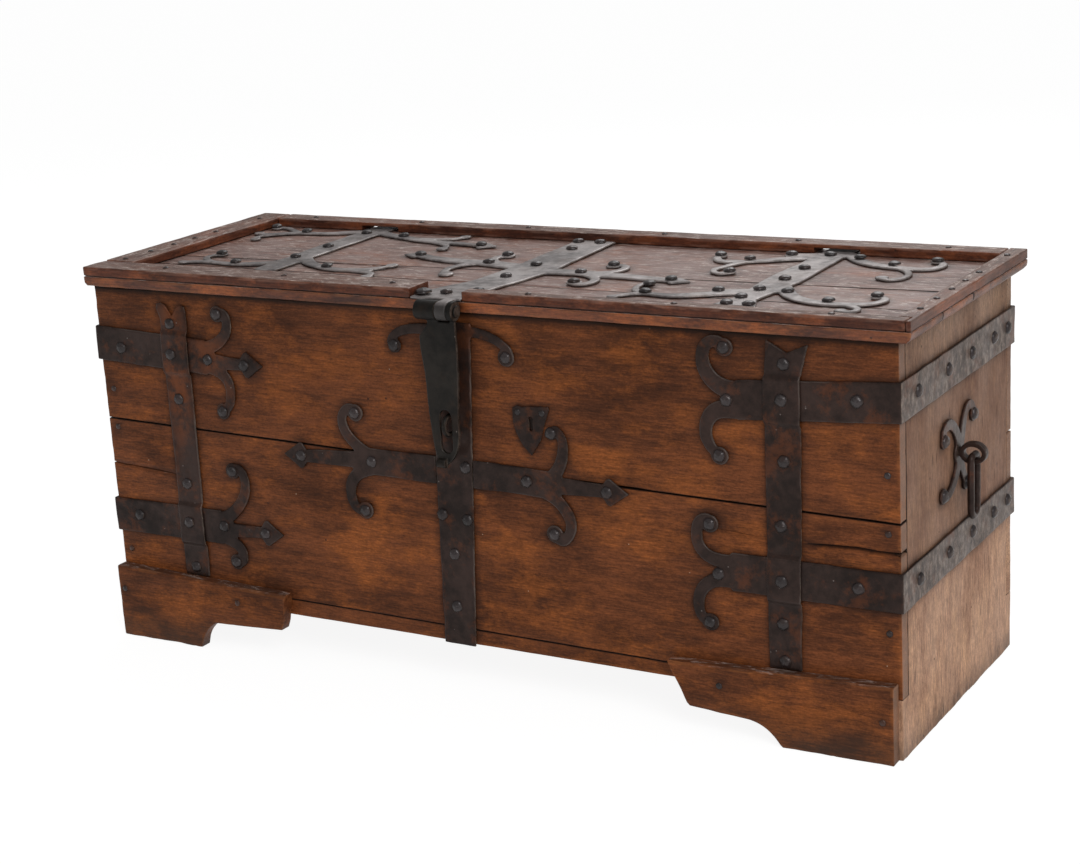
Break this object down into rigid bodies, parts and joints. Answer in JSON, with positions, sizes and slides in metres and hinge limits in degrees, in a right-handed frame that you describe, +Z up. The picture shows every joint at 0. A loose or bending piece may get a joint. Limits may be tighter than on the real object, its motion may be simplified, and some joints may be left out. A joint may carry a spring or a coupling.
{
  "type": "coffer chest",
  "caption": "Iron-bound oak coffer on two bracket feet, with a hinged boarded lid, scrolled straps, a hasp over a staple, a box lock and a drop handle on each end.",
  "frame": {"origin": "centre of the box's footprint at floor level", "axes": "+Z up, -Y towards the front with the hasp, +X along the length to the right as seen from the front"},
  "size_m": [1.384, 0.5156, 0.5953],
  "materials": {
    "front_oak": "old waxed oak, rubbed at the edges",
    "end_oak": "dry pale oak",
    "lid_oak": "worn grey-brown oak",
    "rim_oak": "dark oak with worn edges",
    "strap_iron": "forged, dark",
    "lid_iron": "forged, rubbed grey",
    "hasp_iron": "forged, dark",
    "nail_iron": "forged, rubbed heads",
    "lock_iron": "forged, dark"
  },
  "bodies": {
    "chest": {"back_nails": "nail_iron", "back_plank_lower": "end_oak", "back_plank_upper": "end_oak", "bolt_guides": "lock_iron", "bottom_board_front": "front_oak", "bottom_board_rear": "end_oak", "corner_strap_lower_left": "strap_iron", "corner_strap_lower_right": "strap_iron", "corner_strap_upper_left": "strap_iron", "corner_strap_upper_right": "strap_iron", "cross_arm_left": "strap_iron", "cross_arm_right": "strap_iron", "end_board_left": "end_oak", "end_board_right": "end_oak", "end_nails_left": "nail_iron", "end_nails_right": "nail_iron", "escutcheon": "strap_iron", "escutcheon_nails": "nail_iron", "foot_front_left": "front_oak", "foot_front_right": "front_oak", "foot_nails": "nail_iron", "front_nails": "nail_iron", "front_plank_lower": "front_oak", "front_plank_upper": "front_oak", "front_strap_centre": "strap_iron", "front_strap_left": "strap_iron", "front_strap_right": "strap_iron", "handle_eye_left": "strap_iron", "handle_eye_right": "strap_iron", "handle_plate_left": "strap_iron", "handle_plate_right": "strap_iron", "hasp_staple": "hasp_iron", "hinge_leaf_left": "strap_iron", "hinge_leaf_right": "strap_iron", "hinge_pin_left": "strap_iron", "hinge_pin_right": "strap_iron", "lock_case": "lock_iron", "lock_nails": "lock_iron", "lock_studs": "lock_iron", "plank_nails": "nail_iron"},
    "bail_left": {"handle_bail_left": "strap_iron"},
    "bail_right": {"handle_bail_right": "strap_iron"},
    "hasp": {"hasp": "hasp_iron"},
    "lid": {"hasp_pin": "hasp_iron", "lid_board_front": "lid_oak", "lid_board_middle": "lid_oak", "lid_board_rear": "lid_oak", "lid_lock_staple": "lock_iron", "lid_nails": "nail_iron", "lid_rim_front_left": "rim_oak", "lid_rim_front_right": "rim_oak", "lid_rim_left": "rim_oak", "lid_rim_rear": "rim_oak", "lid_rim_right": "rim_oak", "lid_strap_centre": "lid_iron", "lid_strap_left": "lid_iron", "lid_strap_right": "lid_iron", "rim_nails": "nail_iron", "staple_nails": "lock_iron"},
    "lock_bolt": {"lock_bolt": "lock_iron"}
  },
  "joints": [
    {"name": "lid_hinge", "type": "hinge", "parent": "chest", "child": "lid", "pos_m": [0, 0.2468, 0.5713], "axis": [-1, 0, 0], "range_deg": [0, 105]},
    {"name": "hasp_hinge", "type": "hinge", "parent": "lid", "child": "hasp", "pos_m": [-0.009, -0.2438, 0.5683], "axis": [-1, 0, 0], "range_deg": [-3.8, 190]},
    {"name": "handle_right_swing", "type": "hinge", "parent": "chest", "child": "bail_right", "pos_m": [0.673, -0.008, 0.3597], "axis": [0, -1, 0], "range_deg": [-10, 190]},
    {"name": "handle_left_swing", "type": "hinge", "parent": "chest", "child": "bail_left", "pos_m": [-0.673, -0.008, 0.3597], "axis": [0, 1, 0], "range_deg": [-10, 190]},
    {"name": "lock_bolt_slide", "type": "slide", "parent": "chest", "child": "lock_bolt", "axis": [-1, 0, 0], "range_m": [0, 0.018]}
  ]
}
